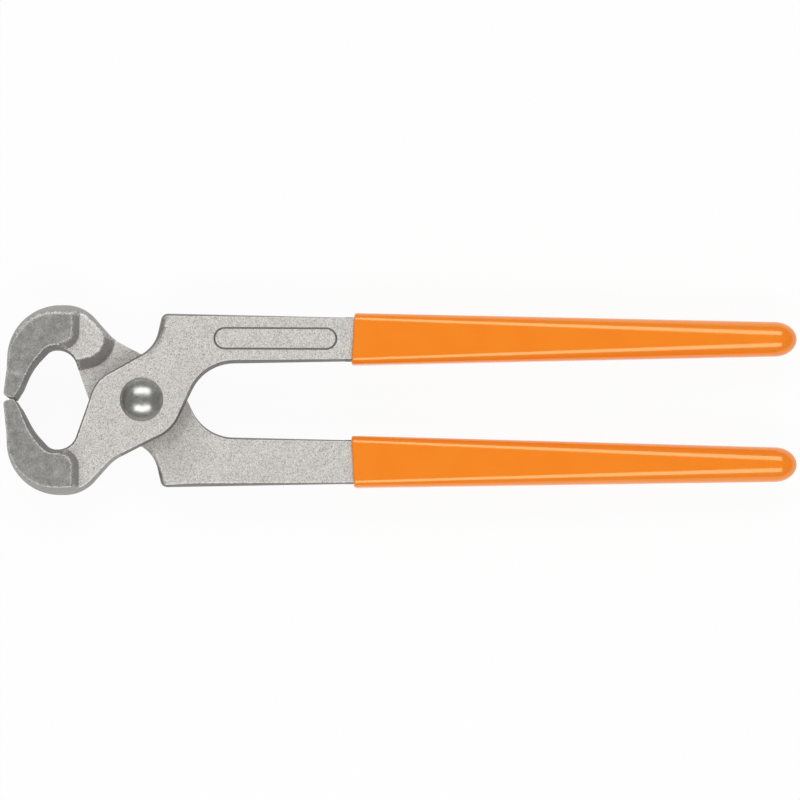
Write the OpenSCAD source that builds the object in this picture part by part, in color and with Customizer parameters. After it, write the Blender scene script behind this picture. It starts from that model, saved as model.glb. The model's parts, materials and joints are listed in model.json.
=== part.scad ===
// Carpenter's pincers for end cutting: two identical drop-forged halves, one domed rivet, two dipped grips.
// Millimetres. Lengths in the sketch are taken from the pivot, +X to the grips, +Z along the rivet.
// The model lies on its jaw sides, with its origin below the middle of its outer box.

/* [Overall] */
// Length over everything, from the jaw front to the grip ends
tool_len = 250; // [225:1:280]
// Pivot to the mouths of the grips
mouth_x = 66.4; // [60:0.2:80]

/* [Jaw head] */
// Pivot to the front of the jaws
jaw_reach = 43.2; // [40:0.2:46]
// Height over both jaws
head_h = 60; // [57:0.5:64]
// Width of the jaws along the rivet
jaw_w = 24; // [20:0.5:28]
// Radius of the jaw backs
jaw_back_r = 16.8; // [14:0.1:18]
// Height of the round opening between the jaws
throat_h = 31.2; // [29:0.2:33]
// Pivot to the near wall of the opening
throat_near = 15.9; // [14.5:0.1:16.5]
// Cutting edge behind the jaw front
edge_setback = 3.2; // [2.4:0.1:4]
// Gap between the two cutting edges when closed
edge_gap = 0.3; // [0.1:0.05:0.8]
// Pivot to the foot of the step beside the jaw pad
step_x = 19.75; // [19:0.05:21]
// Run of the sloped step beside the jaw pad
step_run = 1.75; // [1.2:0.05:3]
// Corner radius of the jaw pad's ground face
pad_corner_r = 3.5; // [2.5:0.25:5.5]
// Radius from the jaw back into the neck
heel_r = 12.5; // [10:0.5:14]
// Pivot to the back of the neck
neck_d = 5.9; // [5:0.1:7]
// Radius from the neck into the boss
neck_r = 14; // [12:0.5:16]
// Rounding of the jaw front behind the cutting edge
front_r = 1.2; // [0.8:0.1:1.5]
// Forging draft of the side walls in degrees
draft = 9; // [6:0.5:10]
// Lean of the opening's near wall in degrees
near_lean = 19.2; // [16:0.1:21]
// Lean of the bevel outside the cutting edge in degrees
bevel_out_lean = 14; // [11:0.5:17]
// Lean of the jaw front in degrees
front_lean = 2.2; // [1.5:0.1:5]
// Lean of the neck in degrees
neck_lean = 48.5; // [44:0.5:52]

/* [Joint] */
// Thickness of each half where they lap
lap_t = 6; // [5:0.25:7]
// Gap between the lapped faces
lap_gap = 0.1; // [0.06:0.02:0.3]
// Radius of the round boss
boss_r = 12.8; // [12:0.1:13.2]
// Radius from the boss to the near wall of the opening
boss_nose_r = 11.5; // [9:0.5:13]
// Lean of the boss towards the shoulder in degrees
boss_lean = 30; // [27:0.5:33]
// Lean of the boss towards the neck in degrees
boss_low_lean = 27.3; // [25:0.1:30]
// Pivot to the middle of the round seat between jaw and joint, along the tool
seat_x = 18.3; // [17:0.1:20]
// Pivot to the middle of that seat, across the tool
seat_y = 19.5; // [18:0.1:21]
// Radius of the seat's face
seat_r = 6.3; // [5.5:0.1:7]
// Run of the seat's sloped wall
seat_run = 3.2; // [2.5:0.1:4.2]
// Gap from the other half to the foot of the slope behind its boss
ramp_gap = 0.6; // [0.4:0.1:1.5]
// Run of that slope up to the full handle
ramp_run = 8; // [6:0.25:9]
// Pivot to the end of that slope beside the shoulder
root_d = 19.2; // [18.5:0.1:20]
// Turn of the slope's end past the long axis in degrees
root_turn = 77; // [74:0.5:80]
// Diameter of the rivet's shank
rivet_d = 10; // [8:0.25:11]
// Diameter of the rivet's domed heads
rivet_head_d = 13.7; // [12.5:0.1:16]
// Rise of the domed heads
rivet_rise = 3.6; // [2.5:0.1:4.5]
// Running clearance round the rivet in the half that turns
run_gap = 0.05; // [0.02:0.01:0.1]
// Clearance round the rivet in the half that holds it
seat_gap = 0.02; // [0.01:0.01:0.05]

/* [Handles] */
// Centre line of a handle above the tool's middle
handle_y = 19.35; // [18.5:0.1:21]
// Centre line at the grip ends
grip_end_y = 19.8; // [18.5:0.1:22]
// Width of the steel at the shoulder
bar_w_root = 16.2; // [14.5:0.1:17]
// Width of the steel at the grip mouth
bar_w_mouth = 13.8; // [12.5:0.1:14.5]
// Thickness of the steel at the grip mouth
bar_t_mouth = 9.6; // [8.5:0.1:10.5]
// Pivot to where the handle starts to thin
taper_x = 14; // [10:1:30]
// Pivot to the shoulder corner
shoulder_x = 6.3; // [5.4:0.1:8]
// Radius of the shoulder corner
shoulder_r = 2.2; // [1.5:0.1:3]
// Lean of the shoulder in degrees
shoulder_lean = 13; // [11:0.5:15]
// Radius from the shoulder into the boss
shoulder_root_r = 10.5; // [9:0.5:12]
// Radius of the crotch between boss and handle
crotch_r = 14.8; // [12:0.1:16]
// Lean of the crotch in degrees
crotch_lean = 25.6; // [23:0.1:28]
// Length of the raised blank panel on the handle
panel_len = 39.1; // [30:0.1:44]
// Width of the panel
panel_w = 7.2; // [5:0.1:8.5]
// Gap from the panel to the grip mouth
panel_gap = 4.85; // [4:0.05:8]
// Height of the panel above the handle
panel_rise = 0.4; // [0.2:0.05:0.8]

/* [Grips] */
// Thickness of the dipped coat
coat = 1.3; // [0.8:0.05:2]
// Gap between the coat and the tang
coat_gap = 0.05; // [0.02:0.01:0.1]
// Corner radius of the tang at the grip mouth
tang_corner_r = 1.4; // [1.2:0.1:2.5]
// Diameter of the round tang at its end
tang_end_d = 8.4; // [7:0.1:9]
// Length of the grip's bullet end
nose_len = 7; // [5.5:0.5:10]
// Coat beyond the end of the tang
tip_coat = 3.5; // [2:0.25:5]
// Rounding of the grip mouth
lip_r = 0.8; // [0.4:0.1:1]

/* [Hidden] */
$fn = 64;

steel = "#C8C5C0";
polished = "#D8D8D6";
orange = "#FC861A";

// Angle of one facet on the forged outline
facet = 7;
// Length by which a cutting solid runs past what it cuts
over = 1;
// Smallest corner radius left by the draft, and by a round end
least_r = 0.1;
// Steps round a quarter of a tang's corner, along a tang and round a bullet end
corner_steps = 5;
tang_steps = 6;
nose_steps = 6;
// Depth of the panel's and the tang's roots in the bar
panel_root = 1.5;
tang_root = 4;

head_r = head_h / 2;
throat_r = throat_h / 2;
jaw_z = jaw_w / 2;
jaw_inset = jaw_z * tan(draft);
grip_end_x = tool_len - jaw_reach;
tang_end_x = grip_end_x - tip_coat;
middle_x = grip_end_x - tool_len / 2;
// Half the spread of the handle's taper, as an angle
bar_taper = atan((bar_w_root - bar_w_mouth) / 2 / (mouth_x - shoulder_x));
// Slope of the handle's broad faces
face_slope = atan((lap_t - bar_t_mouth / 2) / (mouth_x - taper_x));
panel_x = mouth_x - panel_gap - panel_len / 2;
shoulder = [shoulder_x, handle_y + bar_w_root / 2];
mouth_top = [mouth_x, handle_y + bar_w_mouth / 2];
mouth_low = [mouth_x, handle_y - bar_w_mouth / 2];

function bearing(x, y) = atan2(y, x);
function unit_at(a) = [cos(a), sin(a)];
function dot(a, b) = a.x * b.x + a.y * b.y;
function mix(a, b, t) = a + (b - a) * t;
function turn_of(a, b) = (b - a + 540) % 360 - 180;

// An edge is [angle of its outward normal, distance from the pivot]; this one runs through a point
function edge_at(a, point) = [a, dot(unit_at(a), point)];
function edge_between(p, q) = edge_at(bearing(q.y - p.y, p.x - q.x), p);

// Radius of the arc that begins a given reach before the corner of two edges
function arc_r(e, f, reach) = reach / tan(abs(turn_of(e[0], f[0])) / 2);

function crossing(e, f) =
    let (s = sin(f[0] - e[0]))
    [(e[1] * sin(f[0]) - f[1] * sin(e[0])) / s, (f[1] * cos(e[0]) - e[1] * cos(f[0])) / s];

// Outward directions of the outline's straight sides
to_left = bearing(-1, 0);
to_top = bearing(0, 1);
to_bottom = bearing(0, -1);
to_right = bearing(1, 0);

// The jaws' opening: near wall, floor and the bends of its far wall, in shares of its length and depth
near_wall = [to_left - near_lean, throat_near];
throat_floor = [to_top, -throat_r];
cutting_edge = [edge_setback - jaw_reach, -edge_gap / 2];
throat_end = crossing(near_wall, throat_floor);
throat_size = throat_end - cutting_edge;
throat_foot = cutting_edge + [0.632 * throat_size.x, throat_size.y];
throat_knee = cutting_edge + [0.35 * throat_size.x, 0.653 * throat_size.y];
throat_brow = cutting_edge + [0.14 * throat_size.x, 0.2 * throat_size.y];
far_wall = edge_between(throat_foot, throat_knee);
brow_wall = edge_between(throat_knee, throat_brow);
inner_bevel = edge_between(throat_brow, cutting_edge);
// Its rounded corners: two share the floor between them, the others follow the depth
floor_run = throat_end.x - throat_foot.x;
near_r = arc_r(near_wall, throat_floor, 0.67 * floor_run);
foot_r = arc_r(throat_floor, far_wall, 0.26 * floor_run);
knee_r = 1.3 * abs(throat_size.y);
bevel_r = 0.26 * abs(throat_size.y);

// Half of the tool, counter-clockwise: normal angle and distance of an edge, then radius of the corner that
// follows, and the share of the draft that this corner takes on the outer and on the inner side
half_sketch = [
    concat(edge_at(to_top - bar_taper, mouth_top), [shoulder_r, 0.9, 0.9]),
    concat(edge_at(to_left - shoulder_lean, shoulder), [shoulder_root_r, 1.1, 1.1]),
    [to_top + boss_lean, boss_r, boss_nose_r, 0.6, 0.6],
    concat(near_wall, [near_r, 0.85, 0.55]),
    concat(throat_floor, [foot_r, 0.85, 0.55]),
    concat(far_wall, [knee_r, 0.7, 0.45]),
    concat(brow_wall, [bevel_r, 0.25, 0.2]),
    concat(inner_bevel, [0, 0, 0]),
    concat(edge_at(to_top + bevel_out_lean, cutting_edge), [front_r, 0, 0]),
    [to_left + front_lean, jaw_reach, jaw_back_r, 1, 1.3],
    [to_bottom, head_r, heel_r, 1, 1.3],
    [to_bottom + neck_lean, neck_d, neck_r, 0.6, 0.6],
    [to_bottom + boss_low_lean, boss_r, boss_r, 0.2, 0.2],
    [to_right - crotch_lean, boss_r, crotch_r, 0.8, 0.8],
    concat(edge_at(to_bottom + bar_taper, mouth_low), [0, 0.5, 0.5]),
    [to_right, mouth_x, 0, 0.3, 0.3]
];
outer_side = 3;
inner_side = 4;

function stadium_sketch(l, w) = [
    for (side = [[to_right, l], [to_top, w], [to_left, l], [to_bottom, w]])
        [side[0], side[1] / 2, w / 2 - least_r / 10, 1, 1]
];

function after(list, i) = list[(i + 1) % len(list)];
function before(list, i) = list[(i + len(list) - 1) % len(list)];

// Corners of a sketch, each moved inwards by its own share of the inset on that side
function corners_of(sketch, inset, side) = [
    for (i = [0 : len(sketch) - 1])
        let (e = sketch[i], f = after(sketch, i), t = turn_of(e[0], f[0]))
        crossing(e, f) - (unit_at(e[0]) + unit_at(f[0])) / (1 + cos(t)) * inset * e[side]
];

// One rounded corner as points on its arc; n is the number of steps
function arc_points(a, v, b, r, n) =
    let (
        u = (v - a) / norm(v - a),
        w = (b - v) / norm(b - v),
        t = atan2(u.x * w.y - u.y * w.x, dot(u, w)),
        start = v - u * r * tan(abs(t) / 2),
        to_centre = [-u.y, u.x] * r * sign(t)
    )
    n == 0 ? [v] : [
        for (j = [0 : n])
            let (q = t * j / n)
            start + to_centre - [to_centre.x * cos(q) - to_centre.y * sin(q),
                                 to_centre.x * sin(q) + to_centre.y * cos(q)]
    ];

// Outline of a sketch at a height, drawn in by the inset, with rounded corners
function ring_of(sketch, inset, z, side = outer_side) =
    let (vs = corners_of(sketch, inset, side))
    [for (i = [0 : len(sketch) - 1])
        let (
            e = sketch[i],
            t = turn_of(e[0], after(sketch, i)[0]),
            r = max(least_r, e[2] - sign(t) * inset * e[side]),
            n = e[2] == 0 ? 0 : max(2, ceil(abs(t) / facet))
        )
        for (p = arc_points(before(vs, i), vs[i], after(vs, i), r, n)) [p.x, p.y, z]];

// Rounded rectangle across the handle at x, with half width, half thickness and corner radius
function section_at(x, y, half_w, half_t, r) = [
    for (c = [0 : 3], j = [0 : corner_steps])
        let (
            q = 90 * (c + j / corner_steps),
            sy = c == 0 || c == 3 ? 1 : -1,
            sz = c < 2 ? 1 : -1
        )
        [x, y + sy * (half_w - r) + r * cos(q), sz * (half_t - r) + r * sin(q)]
];

// Tang section at x, grown by a wall and rounded to a bullet end at end_x
function tang_ring(x, wall, end_x, nose) =
    let (
        t = min(1, max(0, (x - mouth_x) / (grip_end_x - nose_len - mouth_x))),
        into = max(0, x - (end_x - nose)) / nose,
        s = sqrt(1 - into * into),
        y = mix(handle_y, grip_end_y, t)
    )
    section_at(
        x, y,
        s * (mix(bar_w_mouth, tang_end_d, t) / 2 + wall),
        s * (mix(bar_t_mouth, tang_end_d, t) / 2 + wall),
        s * (mix(tang_corner_r, tang_end_d / 2 - least_r / 5, t) + wall)
    );

// Places along a tang: even steps, then closer ones round the bullet end
function tang_places(x0, end_x, nose) = concat(
    [for (j = [0 : tang_steps]) mix(x0, end_x - nose, j / tang_steps)],
    [for (j = [1 : nose_steps - 1]) end_x - nose + nose * sin(90 * j / nose_steps)]
);

// Twice the area of a triangle, positive when it runs counter-clockwise
function swing(a, b, c) = (b.x - a.x) * (c.y - a.y) - (b.y - a.y) * (c.x - a.x);

function holds(a, b, c, p) = swing(a, b, p) >= 0 && swing(b, c, p) >= 0 && swing(c, a, p) >= 0;

// A corner is an ear when its triangle holds no other point of the outline
function is_ear(pts, ids, i) =
    let (a = before(ids, i), b = ids[i], c = after(ids, i))
    swing(pts[a], pts[b], pts[c]) > 0 &&
    len([for (k = ids) if (k != a && k != b && k != c && holds(pts[a], pts[b], pts[c], pts[k])) k]) == 0;

function first_ear(pts, ids, i = 0) =
    i == len(ids) - 1 || is_ear(pts, ids, i) ? i : first_ear(pts, ids, i + 1);

// Triangles that fill a flat outline, one ear at a time
function ears_of(pts, ids) =
    len(ids) == 3 ? [ids] :
    let (i = first_ear(pts, ids))
    concat(
        [[before(ids, i), ids[i], after(ids, i)]],
        ears_of(pts, [for (j = [0 : len(ids) - 1]) if (j != i) ids[j]])
    );

function indices(list) = [for (j = [0 : len(list) - 1]) j];

// Skin over a row of outlines with equal counts; hollow outlines have their end faces cut into triangles
module loft(rings, hollow = false) {
    n = len(rings[0]);
    last = len(rings) - 1;
    function cap(ring) = hollow ? ears_of(ring, indices(ring)) : [indices(ring)];
    sides = [for (k = [0 : last - 1], j = [0 : n - 1])
        let (a = k * n + j, b = k * n + (j + 1) % n)
        each [[a, a + n, b + n], [a, b + n, b]]];
    far_cap = [for (f = cap(rings[last])) [for (j = [len(f) - 1 : -1 : 0]) last * n + f[j]]];
    polyhedron([for (r = rings) each r], concat(sides, cap(rings[0]), far_cap), convexity = 8);
}

// Puts the pivot sketch on its rest plane, below the middle of the outer box
module placed() {
    translate([-middle_x, 0, jaw_z]) children();
}

// The second half and its grip are the first ones turned over about the tool's long axis
module turned_over() {
    rotate([180, 0, 0]) children();
}

// What the forging keeps of the tall jaw: a pad with a sloped step and a rounded corner
module jaw_pad_keep() {
    pad_foot_r = pad_corner_r + step_run;
    rate = step_run / (jaw_z - lap_t);
    hull()
        for (y = [throat_r + jaw_inset + pad_corner_r, head_h])
            translate([-step_x - pad_foot_r, -y, lap_t - over])
                cylinder(
                    h = jaw_z - lap_t + 2 * over,
                    r1 = pad_foot_r + rate * over,
                    r2 = pad_corner_r - rate * over
                );
}

// Everything above the plate level, from the jaw pad to the thinning handle
module above_plate() {
    pad_x = -step_x - step_run - pad_corner_r;
    end_z = bar_t_mouth / 2 - over * tan(face_slope);
    difference() {
        rotate([90, 0, 0])
            linear_extrude(height = 2 * head_h, center = true)
                polygon([
                    [pad_x, lap_t],
                    [taper_x, lap_t],
                    [mouth_x + over, end_z],
                    [mouth_x + over, jaw_z + over],
                    [pad_x, jaw_z + over]
                ]);
        jaw_pad_keep();
    }
}

// What the lap leaves of the jaw: a round seat with a sloped wall, and all that lies beyond it
module seat_keep() {
    beyond = 2 * jaw_reach;
    rate = seat_run / lap_t;
    deep = lap_t + over;
    hull()
        for (step = [[0, 0], [-1, 0.25], [-0.3, -1]])
            translate(concat([-seat_x, -seat_y] + beyond * step, [-deep]))
                cylinder(h = deep + over, r1 = seat_r - rate * over, r2 = seat_r + rate * deep);
}

// Room under the lap for the other half: round its boss, its crotch and its neck as it opens, and all in
// front but the seat
module lap_room() {
    deep = lap_t + over;
    rate = ramp_run / lap_t;
    crotch_x = boss_r / cos(crotch_lean);
    hull()
        for (spot = [[0, 0, boss_r], [crotch_x, 0, 0], concat(root_d * unit_at(root_turn), [0])])
            translate([spot.x, spot.y, -deep])
                cylinder(
                    h = deep + lap_gap / 2,
                    r1 = spot.z + ramp_gap + rate * deep,
                    r2 = spot.z + ramp_gap - rate * lap_gap / 2
                );
    difference() {
        rotate([0, 0, crotch_lean])
            translate([-head_r, -head_h, -deep])
                cube([head_r + over, 2 * head_h, deep + lap_gap / 2]);
        seat_keep();
    }
}

// Raised blank panel on the outer broad face of the handle
module panel() {
    sketch = stadium_sketch(panel_len, panel_w);
    translate([panel_x, handle_y, lap_t - (panel_x - taper_x) * tan(face_slope)])
        rotate([0, face_slope, 0])
            loft([
                ring_of(sketch, 0, -panel_root),
                ring_of(sketch, 0, 0),
                ring_of(sketch, panel_rise, panel_rise)
            ]);
}

// Steel inside the grip, rooted in the end of the bar
module tang() {
    nose = nose_len - tip_coat;
    loft(concat(
        [[for (p = tang_ring(mouth_x, least_r - tang_corner_r, tang_end_x, nose)) p - [tang_root, 0, 0]]],
        [for (x = tang_places(mouth_x, tang_end_x, nose)) tang_ring(x, 0, tang_end_x, nose)]
    ));
}

module forged_half(bore_gap) {
    difference() {
        loft([
            ring_of(half_sketch, jaw_inset, -jaw_z, inner_side),
            ring_of(half_sketch, 0, 0),
            ring_of(half_sketch, jaw_inset, jaw_z)
        ], hollow = true);
        above_plate();
        mirror([0, 0, 1]) above_plate();
        lap_room();
        translate([0, 0, -over]) cylinder(h = lap_t + 2 * over, d = rivet_d + 2 * bore_gap);
    }
    panel();
    tang();
}

module dipped_grip() {
    nose = nose_len - tip_coat;
    mouth = mouth_x + coat_gap;
    cavity_end = tang_end_x + coat_gap;
    difference() {
        loft(concat(
            [for (q = [0 : 30 : 60])
                tang_ring(mouth + lip_r * (1 - cos(q)), coat - lip_r * (1 - sin(q)), grip_end_x, nose_len)],
            [for (x = tang_places(mouth + lip_r, grip_end_x, nose_len))
                tang_ring(x, coat, grip_end_x, nose_len)]
        ));
        loft([
            for (x = concat([mouth_x - over], tang_places(mouth_x, cavity_end, nose)))
                tang_ring(x, coat_gap, cavity_end, nose)
        ]);
    }
}

// A domed head whose seat lies at z = 0
module rivet_head() {
    base = rivet_head_d / 2;
    dome_r = (base * base + rivet_rise * rivet_rise) / (2 * rivet_rise);
    intersection() {
        cylinder(h = rivet_rise + over, r = base);
        translate([0, 0, rivet_rise - dome_r]) sphere(r = dome_r, $fn = 96);
    }
}

module upper_handle_half() {
    color(steel) placed() forged_half(run_gap);
}

module lower_handle_half() {
    color(steel) placed() turned_over() forged_half(seat_gap);
}

module pivot_rivet() {
    color(polished) placed() {
        translate([0, 0, -lap_t - seat_gap]) cylinder(h = 2 * lap_t + seat_gap + run_gap, d = rivet_d);
        translate([0, 0, lap_t + run_gap]) rivet_head();
        turned_over() translate([0, 0, lap_t + seat_gap]) rivet_head();
    }
}

module upper_grip() {
    color(orange) placed() dipped_grip();
}

module lower_grip() {
    color(orange) placed() turned_over() dipped_grip();
}

upper_handle_half();
lower_handle_half();
pivot_rivet();
upper_grip();
lower_grip();
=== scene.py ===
"""Looks of a pair of carpenter's pincers for end cutting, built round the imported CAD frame.

Lengths are millimetres from the pivot: +X runs to the grips, +Y to the upper handle, +Z along the rivet.
Bench turns them into the frame's metres.
"""

import json
import logging
import math
from collections.abc import Callable
from dataclasses import dataclass, field
from enum import Enum, IntEnum

import bpy
import numpy as np
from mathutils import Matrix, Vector
from mathutils.geometry import delaunay_2d_cdt


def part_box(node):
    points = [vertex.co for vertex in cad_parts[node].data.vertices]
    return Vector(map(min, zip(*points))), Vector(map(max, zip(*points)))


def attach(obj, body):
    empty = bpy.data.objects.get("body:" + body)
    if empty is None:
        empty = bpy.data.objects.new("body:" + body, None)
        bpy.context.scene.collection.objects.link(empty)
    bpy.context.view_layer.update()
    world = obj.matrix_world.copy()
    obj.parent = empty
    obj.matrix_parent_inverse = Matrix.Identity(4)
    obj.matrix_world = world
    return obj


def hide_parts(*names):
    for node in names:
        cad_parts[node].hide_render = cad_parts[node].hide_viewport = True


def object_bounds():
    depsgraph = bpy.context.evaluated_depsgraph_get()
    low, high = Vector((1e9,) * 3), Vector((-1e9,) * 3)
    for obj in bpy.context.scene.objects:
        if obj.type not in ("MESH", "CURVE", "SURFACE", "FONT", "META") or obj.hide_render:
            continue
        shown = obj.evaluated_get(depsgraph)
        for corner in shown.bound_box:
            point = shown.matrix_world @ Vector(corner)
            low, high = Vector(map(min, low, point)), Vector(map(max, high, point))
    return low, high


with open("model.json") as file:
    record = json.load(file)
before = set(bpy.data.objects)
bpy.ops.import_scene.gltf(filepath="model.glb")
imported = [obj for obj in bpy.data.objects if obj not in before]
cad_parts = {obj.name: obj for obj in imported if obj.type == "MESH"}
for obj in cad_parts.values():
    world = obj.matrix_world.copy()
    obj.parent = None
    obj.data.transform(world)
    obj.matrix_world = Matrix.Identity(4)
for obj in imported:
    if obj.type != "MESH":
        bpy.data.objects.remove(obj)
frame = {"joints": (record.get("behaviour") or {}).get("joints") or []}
CAD_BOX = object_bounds()

LOG = logging.getLogger("pincers")
MM = 0.001
TINY = 1e-6
WHITE = (1.0, 1.0, 1.0, 1.0)

# Marks that a forging's points carry for its finishes: rubbed bright where worn, and painted shade, which the
# scale mark carries
WORN = "worn"
SCALE = "scale"

# The height of a broad face at given points of the sketch
Height = Callable[[np.ndarray], np.ndarray]


class Body(str, Enum):
    """The two bodies that the pivot joins."""

    UPPER = "upper_half"
    LOWER = "lower_half"


class Turn(Enum):
    """Which way up a forging and its grip lie: as sketched, or turned over about the long axis."""

    AS_SKETCHED = (1.0, 1.0, 1.0)
    TURNED_OVER = (1.0, -1.0, -1.0)


class Broad(Enum):
    """The two broad sides of a forging, by the sign of their height."""

    OUTER = 1.0
    INNER = -1.0


class Face(IntEnum):
    """Finishes on one forging, in the order of its material slots."""

    BLASTED = 0
    # Jaw backs: a real trimmed finish, whose mid grey is partly painted shade
    TRIMMED_AND_SHADED = 1
    GROUND = 2
    # Other steep walls, drawn dark as painted shade
    SCALED = 3


def linear(hex_colour: str) -> tuple[float, float, float, float]:
    """Turns an sRGB hex colour into Blender's linear colour.

    Args:
        hex_colour: six hex digits after a hash sign.

    Returns:
        Linear red, green and blue, with full alpha.
    """
    parts = [int(hex_colour[i:i + 2], 16) / 255 for i in (1, 3, 5)]
    red, green, blue = (c / 12.92 if c <= 0.04045 else ((c + 0.055) / 1.055) ** 2.4 for c in parts)
    return red, green, blue, 1.0


def per_metre(pattern_mm: float) -> float:
    """Gives the texture scale at which one cell of a pattern is that many millimetres wide."""
    return 1 / (pattern_mm * MM)


def add_node(tree: bpy.types.NodeTree, kind: str, settings: dict | None = None,
             inputs: dict | None = None) -> bpy.types.Node:
    """Adds a node to a tree with its settings, constants and links.

    Args:
        tree: the shader or geometry tree.
        kind: the node's type name.
        settings: attributes of the node.
        inputs: values or sockets by input name or number.

    Returns:
        The new node.
    """
    node = tree.nodes.new(kind)
    for name, value in (settings or {}).items():
        setattr(node, name, value)
    for name, value in (inputs or {}).items():
        if isinstance(value, bpy.types.NodeSocket):
            tree.links.new(value, node.inputs[name])
        else:
            node.inputs[name].default_value = value
    return node


@dataclass(frozen=True)
class Bench:
    """Where the pivot sketch lies in the frame."""

    pivot: Vector

    @classmethod
    def from_frame(cls) -> "Bench":
        """Reads the pivot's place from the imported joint."""
        return cls(Vector(frame["joints"][0]["pos_m"]))

    def placed(self, points: np.ndarray, turn: Turn) -> np.ndarray:
        """Turns sketch millimetres into frame metres.

        Args:
            points: rows of x, y, z from the pivot.
            turn: which way up the piece lies.

        Returns:
            Rows of x, y, z in the frame.
        """
        return points * np.array(turn.value) * MM + np.array(self.pivot)


@dataclass(frozen=True)
class SteelFinish:
    """A steel surface: its colour, the grit that marks it and how it shines."""

    name: str
    colour: str
    dark_speck: str
    light_speck: str
    worn_edge: str
    grit_mm: float
    mottle: float
    roughness: float
    metallic: float
    bump_mm: float
    # The dark colour that painted shade mixes the steel towards
    scale: str = "#64635F"
    cloud_mm: float = 5.0
    chip_mm: float = 0.9
    rough_swing: float = 0.06
    speck_stops: tuple[float, float, float, float] = (0.15, 0.42, 0.6, 0.88)
    cloud_span: tuple[float, float] = (0.3, 0.7)
    chip_span: tuple[float, float] = (0.4, 0.6)

    def material(self) -> bpy.types.Material:
        """Builds the procedural material.

        Returns:
            The material, speckled by grit, darkened by painted shade where the scale mark says, and bright
            along worn edges.
        """
        material = bpy.data.materials.new(self.name)
        material.use_nodes = True
        tree = material.node_tree
        shader = tree.nodes["Principled BSDF"]
        place = add_node(tree, "ShaderNodeTexCoord").outputs["Object"]
        grains = add_node(tree, "ShaderNodeTexVoronoi", {}, {
            "Vector": place, "Scale": per_metre(self.grit_mm), "Randomness": 1.0})
        cloud = add_node(tree, "ShaderNodeTexNoise", {}, {
            "Vector": place, "Scale": per_metre(self.cloud_mm), "Detail": 4.0, "Roughness": 0.6})
        tint = add_node(tree, "ShaderNodeValToRGB", {}, {"Fac": grains.outputs["Color"]})
        dark, plain, plain_end, light = self.speck_stops
        stops = tint.color_ramp.elements
        stops[0].position = dark
        stops[0].color = linear(self.dark_speck)
        stops[1].position = light
        stops[1].color = linear(self.light_speck)
        for position in (plain, plain_end):
            stops.new(position).color = linear(self.colour)
        low, high = self.cloud_span
        shade = add_node(tree, "ShaderNodeMapRange", {}, {
            "Value": cloud.outputs["Fac"], "From Min": low, "From Max": high,
            "To Min": 1 - self.mottle, "To Max": 1 + self.mottle})
        toned = add_node(tree, "ShaderNodeVectorMath", {"operation": "SCALE"}, {
            0: tint.outputs["Color"], "Scale": shade.outputs["Result"]})
        # Painted shade: the scale mark mixes the steel towards the dark shade colour
        scale = add_node(tree, "ShaderNodeAttribute", {"attribute_name": SCALE})
        shade_painted = add_node(tree, "ShaderNodeMix", {"data_type": "RGBA"}, {
            "Factor": scale.outputs["Fac"], 6: toned.outputs[0], 7: linear(self.scale)})
        worn = add_node(tree, "ShaderNodeAttribute", {"attribute_name": WORN})
        chipped = add_node(tree, "ShaderNodeTexNoise", {}, {
            "Vector": place, "Scale": per_metre(self.chip_mm), "Detail": 2.0})
        bare = add_node(tree, "ShaderNodeMapRange", {}, {
            "Value": chipped.outputs["Fac"], "From Min": self.chip_span[0], "From Max": self.chip_span[1]})
        rubbed = add_node(tree, "ShaderNodeMath", {"operation": "MULTIPLY"}, {
            0: worn.outputs["Fac"], 1: bare.outputs["Result"]})
        colour = add_node(tree, "ShaderNodeMix", {"data_type": "RGBA"}, {
            "Factor": rubbed.outputs[0], 6: shade_painted.outputs[2], 7: linear(self.worn_edge)})
        rough = add_node(tree, "ShaderNodeMapRange", {}, {
            "Value": cloud.outputs["Fac"], "From Min": low, "From Max": high,
            "To Min": self.roughness - self.rough_swing, "To Max": self.roughness + self.rough_swing})
        bump = add_node(tree, "ShaderNodeBump", {}, {
            "Strength": 1.0, "Distance": self.bump_mm * MM, "Height": grains.outputs["Color"]})
        tree.links.new(colour.outputs[2], shader.inputs["Base Color"])
        tree.links.new(rough.outputs["Result"], shader.inputs["Roughness"])
        tree.links.new(bump.outputs["Normal"], shader.inputs["Normal"])
        shader.inputs["Metallic"].default_value = self.metallic
        return material


# Drop-forged steel, shot-blasted: pale and matt, with a salt and pepper of tiny pits and soft edges rubbed
# bright. The real pits are about 0.1 mm wide and would be lost between pixels, so they are drawn at 0.22 mm.
BLASTED_STEEL = SteelFinish(
    name="blasted_forged_steel", colour="#D0CDC8", dark_speck="#989590", light_speck="#E8E6E2",
    worn_edge="#E8E6E2", grit_mm=0.22, mottle=0.035, roughness=0.55, metallic=0.3, bump_mm=0.02)

# The jaw's back, where the flash was trimmed off after forging: a smoother finish with no sparkle, whose
# plain mid grey is partly painted shade for a steep wall.
TRIMMED_AND_SHADED_STEEL = SteelFinish(
    name="trimmed_steel_painted_shade", colour="#969692", dark_speck="#888884", light_speck="#A2A29E",
    worn_edge="#D6D4D0", grit_mm=0.5, mottle=0.05, roughness=0.5, metallic=0.4, bump_mm=0.01)

# The jaw's sides, ground and hardened: darker, clouded where the wheel bit unevenly, with a chipped bright
# rim. The wheel's scratches are finer than a pixel, so a grit of 0.3 mm stands for them.
GROUND_STEEL = SteelFinish(
    name="ground_jaw_steel", colour="#969591", dark_speck="#84837F", light_speck="#A8A7A3",
    worn_edge="#D2D0CC", grit_mm=0.3, mottle=0.2, roughness=0.5, metallic=0.4, bump_mm=0.01,
    cloud_mm=2.6, chip_mm=0.5)

# Steep walls, drawn a dull dark grey: painted shade for walls that turn away from light from above.
SHADED_WALL_STEEL = SteelFinish(
    name="wall_steel_painted_shade", colour="#74736F", dark_speck="#64635F", light_speck="#807F7B",
    worn_edge="#CFCDC9", grit_mm=0.5, mottle=0.06, roughness=0.55, metallic=0.3, bump_mm=0.01)

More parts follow.
